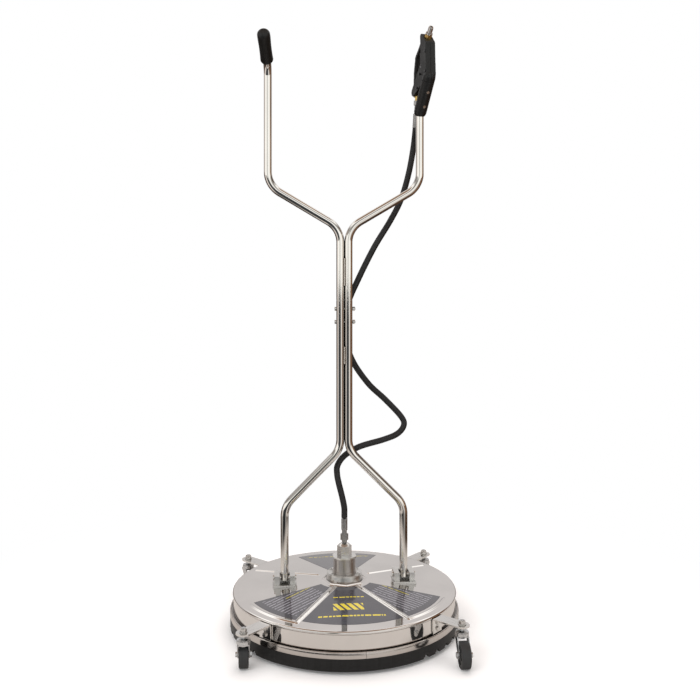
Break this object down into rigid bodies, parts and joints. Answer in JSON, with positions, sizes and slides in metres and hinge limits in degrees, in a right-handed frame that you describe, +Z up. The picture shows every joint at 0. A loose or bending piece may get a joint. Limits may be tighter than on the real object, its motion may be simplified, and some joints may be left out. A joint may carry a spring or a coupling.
{
  "type": "surface cleaner",
  "caption": "Round stainless surface cleaner on swivel casters, with a spinning spray arm under the deck, a folding tube handle, a trigger gun and a pressure hose.",
  "frame": {"origin": "ground point on the spray arm's axis, under the middle of the deck", "axes": "+Z up, +X to the operator's right, +Y away from the operator, who stands on the -Y side"},
  "size_m": [0.624, 0.6392, 1.6322],
  "materials": {
    "mirror_steel": "mirror polished stainless sheet",
    "bright_steel": "bright rolled stainless strip",
    "tube_steel": "polished stainless tube",
    "zinc_steel": "bright zinc plate",
    "fastener_steel": "plain bright steel",
    "cast_alloy": "satin blasted alloy",
    "turned_alloy": "satin turned alloy",
    "brass": "bare brass",
    "crimp_steel": "dull plated steel",
    "weld": "as welded",
    "skirt": "dense black bristle",
    "label": "dark printed film",
    "wheel": "dark grey moulded tread",
    "grip": "soft black sleeve",
    "gun_plastic": "fine grained black moulding",
    "hose": "smooth black cover",
    "seal": "black nitrile",
    "button_plastic": "smooth black moulding"
  },
  "bodies": {
    "deck": {"deck_shell": "mirror_steel", "rim_band": "bright_steel", "skirt_brush": "skirt", "deck_stickers": "label", "hub_flange": "cast_alloy", "hub_bolts": "fastener_steel", "swivel_housing": "turned_alloy", "swivel_cap": "turned_alloy", "inlet_coupling": "turned_alloy", "hose_fitting_lower": "crimp_steel", "upper_bearing": "fastener_steel", "lower_bearing": "fastener_steel", "pressure_seal": "seal", "caster_arms": "bright_steel", "arm_bolts": "fastener_steel", "caster_stems": "zinc_steel", "stem_nuts": "fastener_steel", "left_bracket": "cast_alloy", "right_bracket": "cast_alloy", "bracket_screws": "fastener_steel", "pivot_pins": "fastener_steel", "hose_lower": "hose"},
    "rotor": {"rotor_shaft": "fastener_steel", "spray_manifold": "brass", "spray_arms": "tube_steel", "nozzle_bodies": "brass", "spray_nozzles": "fastener_steel"},
    "near_left_caster": {"near_left_fork": "zinc_steel", "near_left_axle": "zinc_steel"},
    "near_left_roller": {"near_left_wheel": "wheel"},
    "near_right_caster": {"near_right_fork": "zinc_steel", "near_right_axle": "zinc_steel"},
    "near_right_roller": {"near_right_wheel": "wheel"},
    "far_left_caster": {"far_left_fork": "zinc_steel", "far_left_axle": "zinc_steel"},
    "far_left_roller": {"far_left_wheel": "wheel"},
    "far_right_caster": {"far_right_fork": "zinc_steel", "far_right_axle": "zinc_steel"},
    "far_right_roller": {"far_right_wheel": "wheel"},
    "handle": {"lower_tube_left": "tube_steel", "lower_tube_right": "tube_steel", "upper_tube_left": "tube_steel", "upper_tube_right": "tube_steel", "joint_sleeves": "fastener_steel", "joint_bolts": "fastener_steel", "tube_welds": "weld", "left_grip": "grip", "gun_shell_left": "gun_plastic", "gun_shell_right": "gun_plastic", "gun_clamp_cover": "gun_plastic", "gun_screws": "fastener_steel", "gun_valve_body": "brass", "inlet_plug": "tube_steel", "trigger_pin": "fastener_steel", "trigger_spring": "fastener_steel", "hose_fitting_upper": "crimp_steel", "hose_upper": "hose"},
    "trigger": {"trigger": "gun_plastic"},
    "plunger": {"valve_plunger": "fastener_steel"},
    "safety": {"safety_button": "button_plastic"}
  },
  "joints": [
    {"name": "spray_arm_spin", "type": "hinge", "parent": "deck", "child": "rotor", "pos_m": [0, 0, 0.078], "axis": [0, 0, 1], "continuous": true},
    {"name": "near_left_swivel", "type": "hinge", "parent": "deck", "child": "near_left_caster", "pos_m": [-0.2687, -0.2687, 0.0325], "axis": [0, 0, 1], "continuous": true},
    {"name": "near_left_roll", "type": "hinge", "parent": "near_left_caster", "child": "near_left_roller", "pos_m": [-0.2687, -0.2427, 0.0325], "axis": [-1, 0, 0], "continuous": true},
    {"name": "near_right_swivel", "type": "hinge", "parent": "deck", "child": "near_right_caster", "pos_m": [0.2687, -0.2687, 0.0325], "axis": [0, 0, 1], "continuous": true},
    {"name": "near_right_roll", "type": "hinge", "parent": "near_right_caster", "child": "near_right_roller", "pos_m": [0.2687, -0.2947, 0.0325], "axis": [1, 0, 0], "continuous": true},
    {"name": "far_left_swivel", "type": "hinge", "parent": "deck", "child": "far_left_caster", "pos_m": [-0.2687, 0.2687, 0.0325], "axis": [0, 0, 1], "continuous": true},
    {"name": "far_left_roll", "type": "hinge", "parent": "far_left_caster", "child": "far_left_roller", "pos_m": [-0.2557, 0.24618, 0.0325], "axis": [0.866, 0.5, 0], "continuous": true},
    {"name": "far_right_swivel", "type": "hinge", "parent": "deck", "child": "far_right_caster", "pos_m": [0.2687, 0.2687, 0.0325], "axis": [0, 0, 1], "continuous": true},
    {"name": "far_right_roll", "type": "hinge", "parent": "far_right_caster", "child": "far_right_roller", "pos_m": [0.2557, 0.24618, 0.0325], "axis": [0.866, -0.5, 0], "continuous": true},
    {"name": "handle_fold", "type": "hinge", "parent": "deck", "child": "handle", "pos_m": [0, 0, 0.132], "axis": [1, 0, 0], "range_deg": [0, 75]},
    {"name": "trigger_pull", "type": "hinge", "parent": "handle", "child": "trigger", "pos_m": [0.21242, -0.0097, 1.5012], "axis": [0.9703, 0.2419, 0], "range_deg": [0, 12]},
    {"name": "plunger_slide", "type": "slide", "parent": "handle", "child": "plunger", "axis": [0.2419, -0.9703, 0], "range_m": [0, 0.004]},
    {"name": "safety_slide", "type": "slide", "parent": "handle", "child": "safety", "axis": [0.9703, 0.2419, 0], "range_m": [0, 0.004]}
  ],
  "couplings": [
    {"joint": "plunger_slide", "follows": "trigger_pull", "m_per_rad": 0.019}
  ]
}
